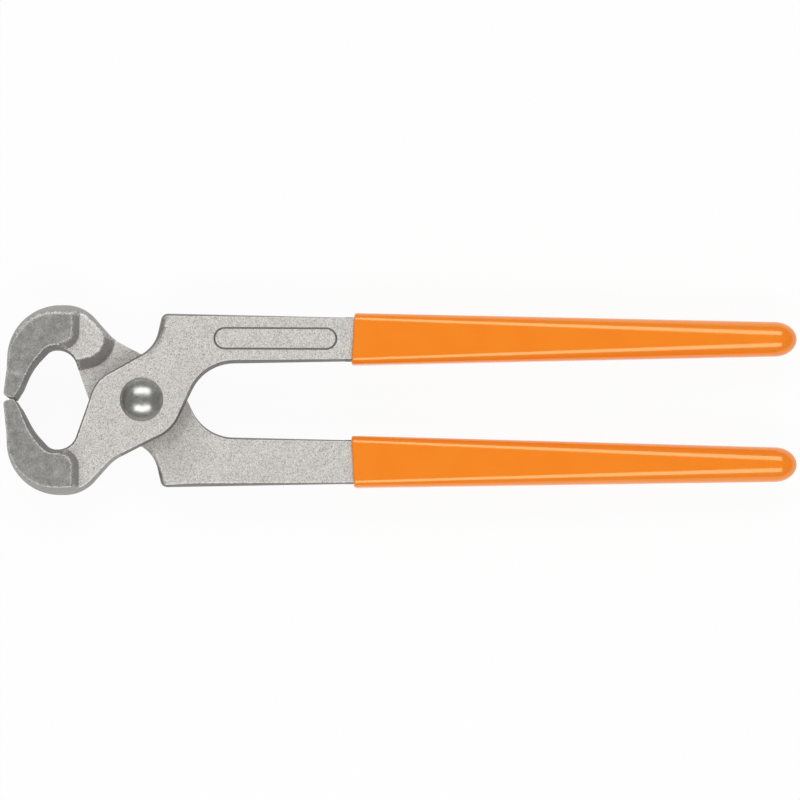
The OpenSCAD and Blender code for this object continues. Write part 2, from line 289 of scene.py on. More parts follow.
# The rivet's heads, closed and polished: bare metal that mirrors the lights as two soft windows.
POLISHED_STEEL = SteelFinish(
    name="polished_rivet_steel", colour="#AEAEAA", dark_speck="#A2A29D", light_speck="#BABAB6",
    worn_edge="#DAD8D4", grit_mm=0.8, mottle=0.05, roughness=0.31, metallic=1.0, bump_mm=0.0)


@dataclass(frozen=True)
class DippedVinyl:
    """Soft PVC that a handle was dipped in and that ran a little while it was wet."""

    # One even, strong orange under a clear gloss: long thin lines of light, warm at their rims and a
    # little wavy, because the coat ran while it was wet
    name: str = "dipped_pvc"
    colour: str = "#FF8A0C"
    run_colour: str = "#FB8206"
    sheen_tint: str = "#FFF2B8"
    wave_mm: float = 9.0
    wave_depth_mm: float = 0.02
    roughness: float = 0.16
    rough_swing: float = 0.05
    ior: float = 1.53
    specular_level: float = 1.0
    coat: float = 0.3
    coat_roughness: float = 0.08

    def material(self) -> bpy.types.Material:
        """Builds the procedural material.

        Returns:
            The material, with slow changes of tone and of surface height.
        """
        material = bpy.data.materials.new(self.name)
        material.use_nodes = True
        tree = material.node_tree
        shader = tree.nodes["Principled BSDF"]
        place = add_node(tree, "ShaderNodeTexCoord").outputs["Object"]
        wave = add_node(tree, "ShaderNodeTexNoise", {}, {
            "Vector": place, "Scale": per_metre(self.wave_mm), "Detail": 2.0})
        colour = add_node(tree, "ShaderNodeMix", {"data_type": "RGBA"}, {
            "Factor": wave.outputs["Fac"], 6: linear(self.run_colour), 7: linear(self.colour)})
        rough = add_node(tree, "ShaderNodeMapRange", {}, {
            "Value": wave.outputs["Fac"], "To Min": self.roughness - self.rough_swing,
            "To Max": self.roughness + self.rough_swing})
        bump = add_node(tree, "ShaderNodeBump", {}, {
            "Strength": 1.0, "Distance": self.wave_depth_mm * MM, "Height": wave.outputs["Fac"]})
        tree.links.new(colour.outputs[2], shader.inputs["Base Color"])
        tree.links.new(rough.outputs["Result"], shader.inputs["Roughness"])
        tree.links.new(bump.outputs["Normal"], shader.inputs["Normal"])
        shader.inputs["IOR"].default_value = self.ior
        shader.inputs["Specular IOR Level"].default_value = self.specular_level
        shader.inputs["Specular Tint"].default_value = linear(self.sheen_tint)
        shader.inputs["Coat Weight"].default_value = self.coat
        shader.inputs["Coat Roughness"].default_value = self.coat_roughness
        return material


def mesh_object(name: str, points: np.ndarray, faces: list, finishes: list[bpy.types.Material],
                slots: np.ndarray | None = None,
                marks: dict[str, np.ndarray] | None = None) -> bpy.types.Object:
    """Makes a smooth-shaded mesh object at the origin.

    Args:
        name: the piece's name.
        points: rows of x, y, z in the frame.
        faces: corner numbers of each face, counter-clockwise from outside.
        finishes: the material slots.
        slots: the slot of each face, or none for the first.
        marks: the values of each point that its finish reads, by name, or none.

    Returns:
        The linked object.
    """
    mesh = bpy.data.meshes.new(name)
    mesh.from_pydata(points.tolist(), [], faces)
    for finish in finishes:
        mesh.materials.append(finish)
    if slots is not None:
        mesh.polygons.foreach_set("material_index", slots.astype(np.int32))
    for mark, values in (marks or {}).items():
        mesh.attributes.new(mark, "FLOAT", "POINT").data.foreach_set("value", values.astype(np.float32))
    mesh.shade_smooth()
    mesh.validate()
    piece = bpy.data.objects.new(name, mesh)
    bpy.context.scene.collection.objects.link(piece)
    return piece


def ring_quads(rings: int, n: int) -> list[tuple[int, ...]]:
    """Joins rings of points that are numbered in turn.

    Args:
        rings: how many rings there are.
        n: how many points each has.

    Returns:
        The corner numbers of each quad.
    """
    quads = []
    for k in range(rings - 1):
        for i in range(n):
            j = (i + 1) % n
            quads.append((k * n + i, k * n + j, k * n + n + j, k * n + n + i))
    return quads


def smooth_max(a: np.ndarray, b: np.ndarray, blend: float) -> np.ndarray:
    """Takes the larger of two heights, with the corner between them filled over a blend width."""
    share = np.clip(0.5 + 0.5 * (a - b) / blend, 0, 1)
    return b + (a - b) * share + blend * share * (1 - share)


def smooth_min(a: np.ndarray, b: np.ndarray, blend: float) -> np.ndarray:
    """Takes the smaller of two heights, with the corner between them rounded over a blend width."""
    return -smooth_max(-a, -b, blend)


def inside(points: np.ndarray, loop: np.ndarray) -> np.ndarray:
    """Tells which points lie inside a closed loop.

    Args:
        points: rows of x, y.
        loop: the loop's corners in order.

    Returns:
        True for each point inside.
    """
    ahead = np.roll(loop, -1, axis=0)
    x, y = points[:, :1], points[:, 1:2]
    spans = (loop[:, 1] > y) != (ahead[:, 1] > y)
    rise = np.where(ahead[:, 1] == loop[:, 1], TINY, ahead[:, 1] - loop[:, 1])
    at = loop[:, 0] + (y - loop[:, 1]) / rise * (ahead[:, 0] - loop[:, 0])
    return (np.sum(spans & (x < at), axis=1) % 2) == 1


@dataclass(frozen=True)
class Side:
    """A straight side of the forging's outline, by its outward direction, and the corner that follows it."""

    angle: float
    distance: float
    radius: float
    outer_draft: float
    inner_draft: float

    @classmethod
    def through(cls, angle: float, point: tuple[float, float], radius: float, outer_draft: float,
                inner_draft: float) -> "Side":
        """Makes the side that runs through a point.

        Args:
            angle: the outward direction in degrees.
            point: x and y of the point.
            radius: the radius of the corner that follows.
            outer_draft: the corner's share of the draft on the outer broad side.
            inner_draft: its share on the inner one.

        Returns:
            The side.
        """
        turned = math.radians(angle)
        distance = point[0] * math.cos(turned) + point[1] * math.sin(turned)
        return cls(angle, distance, radius, outer_draft, inner_draft)

    def draft(self, broad: Broad) -> float:
        """Gives the share of the draft that the corner takes on one broad side."""
        return self.outer_draft if broad is Broad.OUTER else self.inner_draft

    def outward(self) -> np.ndarray:
        """Gives the unit vector that points out of the forging."""
        return np.array([math.cos(math.radians(self.angle)), math.sin(math.radians(self.angle))])


@dataclass(frozen=True)
class Arc:
    """One rounded corner: where it starts, the way it sets off, how far it turns and its radius."""

    start: np.ndarray
    ahead: np.ndarray
    turn: float
    radius: float

    def points(self, steps: int) -> np.ndarray:
        """Draws the arc.

        Args:
            steps: how many chords to draw, or none for a sharp corner.

        Returns:
            Rows of x, y.
        """
        q = np.linspace(0, self.turn, steps + 1)[:, None]
        left = np.array([-self.ahead[1], self.ahead[0]]) * math.copysign(1, self.turn)
        return self.start + self.radius * (np.sin(np.abs(q)) * self.ahead + (1 - np.cos(q)) * left)


@dataclass
class ForgedHalf:
    """One drop-forged half: jaw head, half-lapped boss and handle bar, with draft and rounded edges."""

    head_h: float
    jaw_w: float
    mouth_x: float
    # Jaw head
    jaw_reach: float = 43.2
    jaw_back_r: float = 16.8
    front_r: float = 1.2
    front_lean: float = 2.2
    heel_r: float = 12.5
    draft: float = 9.0
    # Throat: foot, knee and brow lie at these shares of the way from the cutting edge to the throat's end
    throat_h: float = 31.2
    throat_near: float = 15.9
    near_lean: float = 19.2
    throat_shares: tuple[tuple[float, float], ...] = ((0.632, 1.0), (0.35, 0.653), (0.14, 0.2))
    near_reach: float = 0.67
    foot_reach: float = 0.26
    knee_bend: float = 1.3
    brow_bend: float = 0.26
    # Cutting edge
    edge_setback: float = 3.2
    edge_gap: float = 0.3
    bevel_out_lean: float = 14.0
    # Ground jaw pad and the slope of its step
    step_x: float = 19.75
    step_run: float = 1.75
    pad_corner_r: float = 3.5
    # Neck
    neck_d: float = 5.9
    neck_r: float = 14.0
    neck_lean: float = 48.5
    # Lapped boss
    lap_t: float = 6.0
    lap_gap: float = 0.1
    boss_r: float = 12.8
    boss_nose_r: float = 11.5
    boss_lean: float = 30.0
    boss_low_lean: float = 27.3
    bore_r: float = 5.05
    # Round seat before the boss, which widens between two rays towards the jaw's back
    seat_x: float = 18.3
    seat_y: float = 19.5
    seat_r: float = 6.3
    seat_run: float = 3.2
    seat_rays: tuple[tuple[float, float], ...] = ((-1.0, 0.25), (-0.3, -1.0))
    seat_stop: float = 1.0
    # Slope behind the boss, longer and slightly hollow on the bar, clear of the other half as it opens
    ramp_gap: float = 0.6
    ramp_run: float = 8.0
    ramp_blend: float = 3.6
    bar_ramp_run: float = 15.0
    ramp_hollow: float = 0.3
    root_d: float = 19.2
    root_turn: float = 77.0
    # Handle bar, its shoulder and its crotch
    handle_y: float = 19.35
    bar_w_root: float = 16.2
    bar_w_mouth: float = 13.8
    bar_t_mouth: float = 9.6
    bar_end_r: float = 1.4
    bar_sunk: float = 2.5
    taper_x: float = 14.0
    shoulder_x: float = 6.3
    shoulder_r: float = 2.2
    shoulder_lean: float = 13.0
    shoulder_root_r: float = 10.5
    crotch_r: float = 14.8
    crotch_lean: float = 25.6
    # Raised blank panel
    panel_len: float = 39.1
    panel_w: float = 7.2
    panel_gap: float = 4.85
    panel_rise: float = 0.4
    panel_slope: float = 0.7
    # Rounded edges and filled corners
    edge_r: float = 0.4
    back_edge_r: float = 1.2
    back_blend: float = 4.0
    lap_edge_r: float = 0.15
    keen_edge_r: float = 0.08
    keen_reach: float = 5.0
    fillet_blend: float = 0.6
    foot_blend: float = 0.9
    # Wear along rims, and painted shade on slopes, round the panel and beside the boss
    rim_w: float = 0.35
    rim_fade: float = 1.5
    bar_wear: float = 0.2
    unshaded_slope: float = 0.5
    full_shade_slope: float = 1.3
    steep_slope: float = 0.7
    step_painted_shade: float = 0.65
    panel_rim_painted_shade: float = 6.0
    boss_painted_shade: float = 0.12
    boss_shade_w: float = 2.6
    # Tang inside the grip: half width, half thickness and corner radius at its mouth and its tip
    tang_end_x: float = 203.3
    tang_end_y: float = 19.8
    tang_nose: float = 3.5
    tang_steps: int = 7
    tang_mouth: tuple[float, float, float] = (6.85, 4.75, 1.4)
    tang_tip: tuple[float, float, float] = (4.15, 4.15, 4.1)
    # Mesh: lengths of its steps, turns of an arc's chords in radians, and counts
    mesh_step: float = 0.4
    arc_step: float = 0.12
    coarse_grid: float = 1.2
    fine_grid: float = 0.4
    fine_slope: float = 0.12
    seed_gap: float = 0.24
    rim_inset: float = 0.3
    rim_spill: float = 0.4
    rim_loops: int = 7
    parting_gap: float = 0.01
    fillet_steps: int = 5
    fillet_passes: int = 8
    wall_steps: int = 3
    bore_steps: int = 48
    reach_steps: int = 72
    trimmed_corners: tuple[int, ...] = (8, 9, 10, 11)
    # Worked out from the sizes above
    cutting_edge: np.ndarray = field(init=False)
    jaw_z: float = field(init=False)
    jaw_inset: float = field(init=False)
    sides: list[Side] = field(init=False)
    steps: list[tuple[int, int]] = field(init=False)

    def __post_init__(self) -> None:
        """Lays out the outline's sides, counter-clockwise from the top of the bar, and counts its steps."""
        throat_r = self.throat_h / 2
        edge = np.array([self.edge_setback - self.jaw_reach, -self.edge_gap / 2])
        near = math.radians(180 - self.near_lean)
        throat_end = np.array([(self.throat_near + throat_r * math.sin(near)) / math.cos(near), -throat_r])
        foot, knee, brow = (edge + (throat_end - edge) * share for share in self.throat_shares)
        far_lean = self._facing(foot, knee)
        floor_run = throat_end[0] - foot[0]
        near_r = self.near_reach * floor_run / math.tan(math.radians(90 - self.near_lean) / 2)
        foot_r = self.foot_reach * floor_run / math.tan(math.radians(90 - far_lean) / 2)
        depth = throat_r - self.edge_gap / 2
        spread = (self.bar_w_root - self.bar_w_mouth) / 2
        taper = math.degrees(math.atan(spread / (self.mouth_x - self.shoulder_x)))
        mouth_top = (self.mouth_x, self.handle_y + self.bar_w_mouth / 2)
        mouth_low = (self.mouth_x, self.handle_y - self.bar_w_mouth / 2)
        shoulder = (self.shoulder_x, self.handle_y + self.bar_w_root / 2)
        self.cutting_edge = edge
        self.jaw_z = self.jaw_w / 2
        self.jaw_inset = self.jaw_z * math.tan(math.radians(self.draft))
        # Direction, place and corner radius, then the corner's shares of the draft, outer and inner
        self.sides = [
            Side.through(90 - taper, mouth_top, self.shoulder_r, 0.9, 0.9),
            Side.through(180 - self.shoulder_lean, shoulder, self.shoulder_root_r, 1.1, 1.1),
            Side(90 + self.boss_lean, self.boss_r, self.boss_nose_r, 0.6, 0.6),
            Side(180 - self.near_lean, self.throat_near, near_r, 0.85, 0.55),
            Side(90, -throat_r, foot_r, 0.85, 0.55),
            Side.through(far_lean, foot, self.knee_bend * depth, 0.7, 0.45),
            Side.through(self._facing(knee, brow), knee, self.brow_bend * depth, 0.25, 0.2),
            Side.through(self._facing(brow, edge), edge, 0, 0, 0),
            Side.through(90 + self.bevel_out_lean, edge, self.front_r, 0, 0),
            Side(180 + self.front_lean, self.jaw_reach, self.jaw_back_r, 1, 1.3),
            Side(270, self.head_h / 2, self.heel_r, 1, 1.3),
            Side(270 + self.neck_lean, self.neck_d, self.neck_r, 0.6, 0.6),
            Side(270 + self.boss_low_lean, self.boss_r, self.boss_r, 0.2, 0.2),
            Side(360 - self.crotch_lean, self.boss_r, self.crotch_r, 0.8, 0.8),
            Side.through(270 + taper, mouth_low, self.bar_end_r, 0.5, 0.5),
            Side(360, self.mouth_x + self.bar_sunk, self.bar_end_r, 0.3, 0.3),
        ]
        self.steps = self._count_steps()

    @staticmethod
    def _facing(start: np.ndarray, end: np.ndarray) -> float:
        """Gives the outward direction, in degrees, of the side from one point to the next."""
        return math.degrees(math.atan2((start - end)[0], (end - start)[1]))

    def _corners(self, inset: float, broad: Broad) -> np.ndarray:
        """Finds the outline's sharp corners, each drawn in by its own share of an inset.

        Args:
            inset: how far the draft has drawn the outline in.
            broad: the broad side towards which it is drawn in.

        Returns:
            Rows of x, y, the corner after each side.
        """
        corners = []
        for side, after in zip(self.sides, self.sides[1:] + self.sides[:1]):
            a, b = side.outward(), after.outward()
            met = np.linalg.solve(np.array([a, b]), np.array([side.distance, after.distance]))
            corners.append(met - (a + b) / (1 + a @ b) * inset * side.draft(broad))
        return np.array(corners)

    def _arcs(self, inset: float, broad: Broad) -> list[Arc]:
        """Rounds the outline's corners.

        Args:
            inset: how far the draft has drawn the outline in.
            broad: the broad side towards which it is drawn in.

        Returns:
            One arc for each side's corner.
        """
        corners = self._corners(inset, broad)
        arcs = []
        for i, side in enumerate(self.sides):
            u = corners[i] - corners[i - 1]
            w = corners[(i + 1) % len(corners)] - corners[i]
            u /= np.linalg.norm(u)
            w /= np.linalg.norm(w)
            turn = math.atan2(u[0] * w[1] - u[1] * w[0], u @ w)
            drawn = math.copysign(inset * side.draft(broad), turn)
            radius = max(0.0, side.radius - drawn) if side.radius else 0.0
            arcs.append(Arc(corners[i] - u * radius * math.tan(abs(turn) / 2), u, turn, radius))
        return arcs

    def _count_steps(self) -> list[tuple[int, int]]:
        """Counts the mesh steps along the outline at no inset.

        Returns:
            For each corner, the steps of the straight run before it and those of its arc.
        """
        arcs = self._arcs(0.0, Broad.OUTER)
        counts = []
        for i, arc in enumerate(arcs):
            run = np.linalg.norm(arc.start - arcs[i - 1].points(1)[-1])
            bend = abs(arc.turn)
            chords = max(math.ceil(bend * arc.radius / self.mesh_step), math.ceil(bend / self.arc_step))
            counts.append((max(1, math.ceil(run / self.mesh_step)), chords if arc.radius else 0))
        return counts

    def outline(self, inset: float, broad: Broad = Broad.OUTER) -> np.ndarray:
        """Draws the outline at an inset, with the same number of points at every inset.

        Args:
            inset: how far the draft has drawn the outline in.
            broad: the broad side towards which it is drawn in.

        Returns:
            Rows of x, y, counter-clockwise.
        """
        arcs = self._arcs(inset, broad)
        curves = [arc.points(chords) for arc, (_, chords) in zip(arcs, self.steps)]
        points = []
        for i, curve in enumerate(curves):
            share = np.linspace(0, 1, self.steps[i][0] + 1)[1:-1, None]
            end = curves[i - 1][-1]
            points.append(end + (curve[0] - end) * share)
            points.append(curve)
        return np.concatenate(points)

    def _off_pad(self, p: np.ndarray) -> np.ndarray:
        """Measures how far points lie outside the jaw pad's ground face, across its rounded corner.

        Args:
            p: rows of x, y.

        Returns:
            The distances, negative on the pad.
        """
        pad_x = -self.step_x - self.step_run - self.pad_corner_r
        pad_y = -(self.throat_h / 2 + self.jaw_inset + self.pad_corner_r)
        right = np.maximum(0, p[:, 0] - pad_x)
        above = np.maximum(0, p[:, 1] - pad_y) * np.clip(1 + (p[:, 0] - pad_x) / self.pad_corner_r, 0, 1)
        return np.hypot(right, above) - self.pad_corner_r

    def _off_seat(self, p: np.ndarray) -> np.ndarray:
        """Measures how far points lie from the seat's middle and from all beyond it, to the jaw's back.

        Args:
            p: rows of x, y.

        Returns:
            The distances, 0 between the two rays.
        """
        q = p + np.array([self.seat_x, self.seat_y])
        rays = [np.array(ray) / math.hypot(*ray) for ray in self.seat_rays]
        share = q @ np.linalg.inv(np.array(rays))
        off = [np.linalg.norm(q - np.maximum(q @ ray, 0)[:, None] * ray, axis=1) for ray in rays]
        return np.where((share >= 0).all(axis=1), 0, np.minimum(*off))

    def _off_boss(self, p: np.ndarray) -> np.ndarray:
        """Measures how far points lie from the room of the other half's boss, crotch and opening neck.

        Args:
            p: rows of x, y.

        Returns:
            The distances, negative inside that room.
        """
        turn = np.linspace(0, 2 * math.pi, self.reach_steps, endpoint=False)
        towards = np.stack([np.cos(turn), np.sin(turn)])
        crotch = np.array([self.boss_r / math.cos(math.radians(self.crotch_lean)), 0])
        root_turn = math.radians(self.root_turn)
        root = self.root_d * np.array([math.cos(root_turn), math.sin(root_turn)])
        reach = np.maximum(self.boss_r, np.maximum(crotch @ towards, root @ towards))
        return (p @ towards - reach).max(axis=1)

    def _off_panel(self, p: np.ndarray) -> np.ndarray:
        """Measures how far points lie outside the raised panel's foot.

        Args:
            p: rows of x, y.

        Returns:
            The distances, negative on the panel.
        """
        half = (self.panel_len - self.panel_w) / 2
        middle = self.mouth_x - self.panel_gap - self.panel_len / 2
        along = np.maximum(0, np.abs(p[:, 0] - middle) - half)
        return np.hypot(along, p[:, 1] - self.handle_y) - self.panel_w / 2

    def _plate(self, p: np.ndarray) -> np.ndarray:
        """Gives the height of both broad faces with the jaw pad's sloped step, before panel, seat and slope.

        Args:
            p: rows of x, y.

        Returns:
            The heights over the parting plane.
        """
        thinning = np.clip((p[:, 0] - self.taper_x) / (self.mouth_x - self.taper_x), 0, 1)
        plate = self.lap_t + (self.bar_t_mouth / 2 - self.lap_t) * thinning
        rate = (self.jaw_z - self.lap_t) / self.step_run
        slope = self.jaw_z - self._off_pad(p) * rate
        pad = smooth_min(np.full(len(p), self.jaw_z), slope, self.fillet_blend)
        return smooth_max(plate, pad, self.foot_blend)

    def top(self, p: np.ndarray) -> np.ndarray:
        """Gives the height of the outer broad face, with its raised blank panel."""
        share = np.clip(-self._off_panel(p) / self.panel_slope, 0, 1)
        return self._plate(p) + self.panel_rise * share * share * (3 - 2 * share)

    def bottom(self, p: np.ndarray) -> np.ndarray:
        """Gives the height of the inner broad face: lapped boss, round seat before it, soft slope behind it.

        Args:
            p: rows of x, y.

        Returns:
            The heights, negative below the parting plane.
        """
        lean = math.radians(self.crotch_lean)
        back = p[:, 0] * math.cos(lean) + p[:, 1] * math.sin(lean)
        off = self._off_seat(p) - self.seat_r
        front = np.where(off > 0, off * self.lap_t / self.seat_run, off * self.jaw_z) - self.lap_t
        front = np.where((back > -self.head_h / 2) & (back < self.seat_stop), front, -2 * self.jaw_z)
        on_bar = np.clip(p[:, 0] / self.shoulder_x, 0, 1)
        run = self.ramp_run + (self.bar_ramp_run - self.ramp_run) * on_bar
        blend = self.ramp_blend + (self.fillet_blend - self.ramp_blend) * on_bar
        left = 1 - (self._off_boss(p) - self.ramp_gap) / run
        ramp = self.lap_t * (left * np.abs(left) ** (self.ramp_hollow * on_bar) - 1)
        raised = smooth_max(-self._plate(p), front, self.fillet_blend)
        raised = smooth_max(raised, ramp, blend)
        return smooth_min(np.full(len(p), self.lap_gap / 2), raised, self.foot_blend)

    def _edge_radius(self, p: np.ndarray, height: np.ndarray) -> np.ndarray:
        """Chooses the rounding of the edge: soft on the jaw back, sharp on the lap, keen at the cutting edge.

        Args:
            p: rows of x, y along the edge.
            height: the heights of those points.

        Returns:
            The radii.
        """
        below = np.clip((-self.throat_h / 2 - p[:, 1]) / self.back_blend, 0, 1)
        radius = self.edge_r + (self.back_edge_r - self.edge_r) * np.where(height < 0, below, 0)
        lapped = np.clip(1 - np.abs(height) / self.lap_t, 0, 1)
        radius = radius + (self.lap_edge_r - radius) * lapped
        far = np.clip(np.linalg.norm(p - self.cutting_edge, axis=1) / self.keen_reach, 0, 1)
        return self.keen_edge_r + (radius - self.keen_edge_r) * far

    def _rim_wear(self, p: np.ndarray, broad: Broad) -> np.ndarray:
        """Finds the wear along the rims of the jaw pad and, on the inner side, of the seat.

        Args:
            p: rows of x, y.
            broad: the broad side that they lie on.

        Returns:
            How worn each point is, from 0 to 1.
        """
        off = np.abs(self._off_pad(p) + self.rim_w / 2)
        if broad is Broad.INNER:
            off = np.minimum(off, np.abs(self._off_seat(p) - self.seat_r + self.rim_w / 2))
        return np.clip(self.rim_fade - off / self.rim_w, 0, 1) * (p[:, 0] < 0)

    def _face_painted_shade(self, p: np.ndarray, face: Height, broad: Broad) -> np.ndarray:
        """Finds the painted shade on a broad face: on steep steps, round the panel's rim and beside the boss.

        Args:
            p: rows of x, y.
            face: the height of the face.
            broad: the broad side that it lies on.

        Returns:
            How much painted shade each point takes, from 0 to 1.
        """
        step = self.fine_grid / 4
        rises = [face(p + way) - face(p - way) for way in (np.array([step, 0]), np.array([0, step]))]
        slope = np.hypot(*rises) / (2 * step)
        share = (slope - self.unshaded_slope) / (self.full_shade_slope - self.unshaded_slope)
        # Painted shade on steep slopes, where light from above falls weakly
        steep = np.clip(share, 0, self.step_painted_shade)
        if broad is Broad.OUTER:
            # Painted shade along the panel's sloped rim
            rim = np.clip(-self._off_panel(p) / self.panel_slope, 0, 1)
            return np.maximum(steep, np.minimum(1, self.panel_rim_painted_shade * rim * (1 - rim)))
        # Painted shadow fading out from the boss's edge
        beside = 1 - (np.hypot(*p.T) - self.boss_r) / self.boss_shade_w
        return np.where(p[:, 0] < 0, steep, self.boss_painted_shade * np.clip(beside, 0, 1))

    def _shoulder_painted_shade(self, ring: np.ndarray, rings: int) -> np.ndarray:
        """Finds the painted shade on the rounded edges above and below the shoulder's front wall.

        Args:
            ring: rows of x, y, z, one ring of the side wall.
            rings: how many rings the wall has.

        Returns:
            How much painted shade each point takes, one row for each ring.
        """
        up = np.clip((ring[:, 1] - self.boss_r) / self.shoulder_root_r, 0, 1)
        wall = up * (np.abs(ring[:, 0] - self.shoulder_x) < self.shoulder_root_r)
        wall = wall * np.clip(1 - (ring[:, 0] - self.shoulder_x) / self.shoulder_r, 0, 1)
        scale = np.zeros((rings, len(ring)))
        edge = self.fillet_steps + 2
        scale[:edge] = wall
        scale[-edge:] = wall
        return scale

    def _panel_loops(self) -> np.ndarray:
        """Spreads points along the panel's sloped rim, from outside its foot to inside its top.

        Returns:
            Rows of x, y.
        """
        half = (self.panel_len - self.panel_w) / 2
        middle = np.array([self.mouth_x - self.panel_gap - self.panel_len / 2, self.handle_y])
        run = np.linspace(-half, half, round(2 * half / self.mesh_step))
        found = []
        for share in np.linspace(-self.rim_spill, 1 + self.rim_spill, self.rim_loops):
            radius = self.panel_w / 2 - share * self.panel_slope
            bend = np.linspace(-math.pi / 2, math.pi / 2, round(math.pi * radius / self.mesh_step))
            cap = np.stack([half + radius * np.cos(bend), radius * np.sin(bend)], axis=1)
            for side in (-1, 1):
                found.append(middle + cap * side)
                found.append(middle + np.stack([run, np.full(len(run), side * radius)], axis=1)[1:-1])
        return np.concatenate(found)

    def _skirt(self) -> tuple[list[np.ndarray], np.ndarray]:
        """Draws the rings of the side wall from the inner face to the outer one.

        Returns:
            The rings, each rows of x, y, z, and how worn each of their points is.
        """
        foot = self.outline(0.0)
        drawn = {broad: self.outline(self.jaw_inset, broad) - foot for broad in Broad}
        ahead = np.roll(foot, -1, axis=0) - np.roll(foot, 1, axis=0)
        ahead /= np.linalg.norm(ahead, axis=1)[:, None]
        inward = np.stack([-ahead[:, 1], ahead[:, 0]], axis=1)
        lean = math.radians(self.draft)

        def wall(z: np.ndarray) -> np.ndarray:
            """Gives the wall's points at a height."""
            inset = np.where(z[:, None] > 0, drawn[Broad.OUTER], drawn[Broad.INNER])
            return foot + inset * (np.abs(z) / self.jaw_z)[:, None]

        def fillet(face: Height, broad: Broad) -> tuple[list[np.ndarray], np.ndarray]:
            """Rounds the edge between the wall and a face.

            Args:
                face: the height of the face.
                broad: the broad side that it lies on.

            Returns:
                The rings from the face outwards, and the height at which the wall starts.
            """
            sign = broad.value
            z = np.full(len(foot), sign * self.lap_t)
            for _ in range(self.fillet_passes):
                z = face(wall(z))
            reach = self._edge_radius(wall(z), z) * math.tan((math.pi / 2 - lean) / 2)
            low = z - sign * reach * math.cos(lean)
            corner = np.column_stack([wall(z), z])
            start = np.column_stack([wall(low), low])
            onto = wall(z) + inward * reach[:, None]
            end = np.column_stack([onto, face(onto)])
            deep = onto + inward * self.rim_inset
            rings = [np.column_stack([deep, face(deep)])]
            weight = math.cos((math.pi / 2 - lean) / 2)
            for t in np.linspace(0, 1, self.fillet_steps + 1):
                a, b, c = (1 - t) ** 2, 2 * t * (1 - t) * weight, t * t
                rings.append((end * a + corner * b + start * c) / (a + b + c))
            return rings, low

        under, low = fillet(self.bottom, Broad.INNER)
        over, high = fillet(self.top, Broad.OUTER)
        parting = np.clip(0.0, low + self.parting_gap, high - self.parting_gap)
        rings = list(under)
        for a, b in ((low, parting), (parting, high)):
            for share in np.linspace(0, 1, self.wall_steps + 1)[1:]:
                z = a + (b - a) * share
                rings.append(np.column_stack([wall(z), z]))
        rings.pop()
        rings += over[::-1]
        head = np.clip(-foot[:, 0] / self.back_blend, 0, 1)
        behind = np.clip((foot[:, 0] - self.shoulder_x) / self.shoulder_r, 0, 1)
        grasped = np.where(foot[:, 1] > self.handle_y, behind, self.bar_wear)
        worn = np.zeros((len(rings), len(foot)))
        worn[1:self.fillet_steps] = np.maximum(head, grasped)
        worn[-self.fillet_steps:-1] = np.maximum(head, self.bar_wear)
        return rings, worn

    def _seeds(self, loop: np.ndarray, face: Height) -> np.ndarray:
        """Scatters grid points over a face, close together where its height changes.

        Args:
            loop: the face's border.
            face: the height of the face at given points.

        Returns:
            Rows of x, y inside the border and outside the bore.
        """
        low, high = loop.min(axis=0), loop.max(axis=0)
        ways = self.coarse_grid * np.array([(1, 0), (-1, 0), (0, 1), (0, -1)])
        found = []
        for step, fine in ((self.coarse_grid, False), (self.fine_grid, True)):
            xs = np.arange(low[0], high[0], step)
            ys = np.arange(low[1], high[1], step * math.sqrt(3) / 2)
            grid = np.stack(np.meshgrid(xs, ys), axis=-1)
            grid[1::2, :, 0] += step / 2
            grid = grid.reshape(-1, 2)
            change = np.max([np.abs(face(grid + way) - face(grid)) for way in ways], axis=0)
            grid = grid[(change > self.fine_slope * self.coarse_grid) == fine]
            grid = grid[inside(grid, loop)]
            near = np.array([np.min(np.hypot(*(loop - g).T)) for g in grid])
            grid = grid[near > self.seed_gap]
            found.append(grid[np.hypot(*grid.T) > self.bore_r + self.rim_inset])
        return np.concatenate(found)

    def _broad_face(self, loop: np.ndarray, bore: np.ndarray, broad: Broad) -> tuple[np.ndarray, np.ndarray]:
        """Fills a broad face between its border and the bore with triangles.

        Args:
            loop: the face's border, rows of x, y.
            bore: the bore's rim, rows of x, y.
            broad: the broad side that the face lies on.

        Returns:
            Rows of x, y with the border and the bore first, and the triangles' corner numbers.
        """
        seeds = self._seeds(loop, self.top if broad is Broad.OUTER else self.bottom)
        if broad is Broad.OUTER:
            off_rim = np.abs(self._off_panel(seeds) + self.panel_slope / 2)
            seeds = np.concatenate([seeds[off_rim > self.panel_slope + self.rim_w], self._panel_loops()])
        flat = np.concatenate([loop, bore, seeds])
        edges = []
        for first, count in ((0, len(loop)), (len(loop), len(bore))):
            edges += [(first + i, first + (i + 1) % count) for i in range(count)]
        _, _, triangles, origin, _, _ = delaunay_2d_cdt([Vector(q) for q in flat], edges, [], 0, TINY)
        corners = np.array([[origin[v][0] for v in t] for t in triangles])
        middle = flat[corners].mean(axis=1)
        # A sliver between border points has no clear middle; it lies within if its corners follow the border
        a, b, c = corners.T
        follows = (a < b).astype(int) + (b < c) + (c < a) == 2
        sliver = (corners < len(loop)).all(axis=1)
        keep = np.where(sliver, follows, inside(middle, loop)) & ~inside(middle, bore)
        return flat, corners[keep][:, ::int(broad.value)]

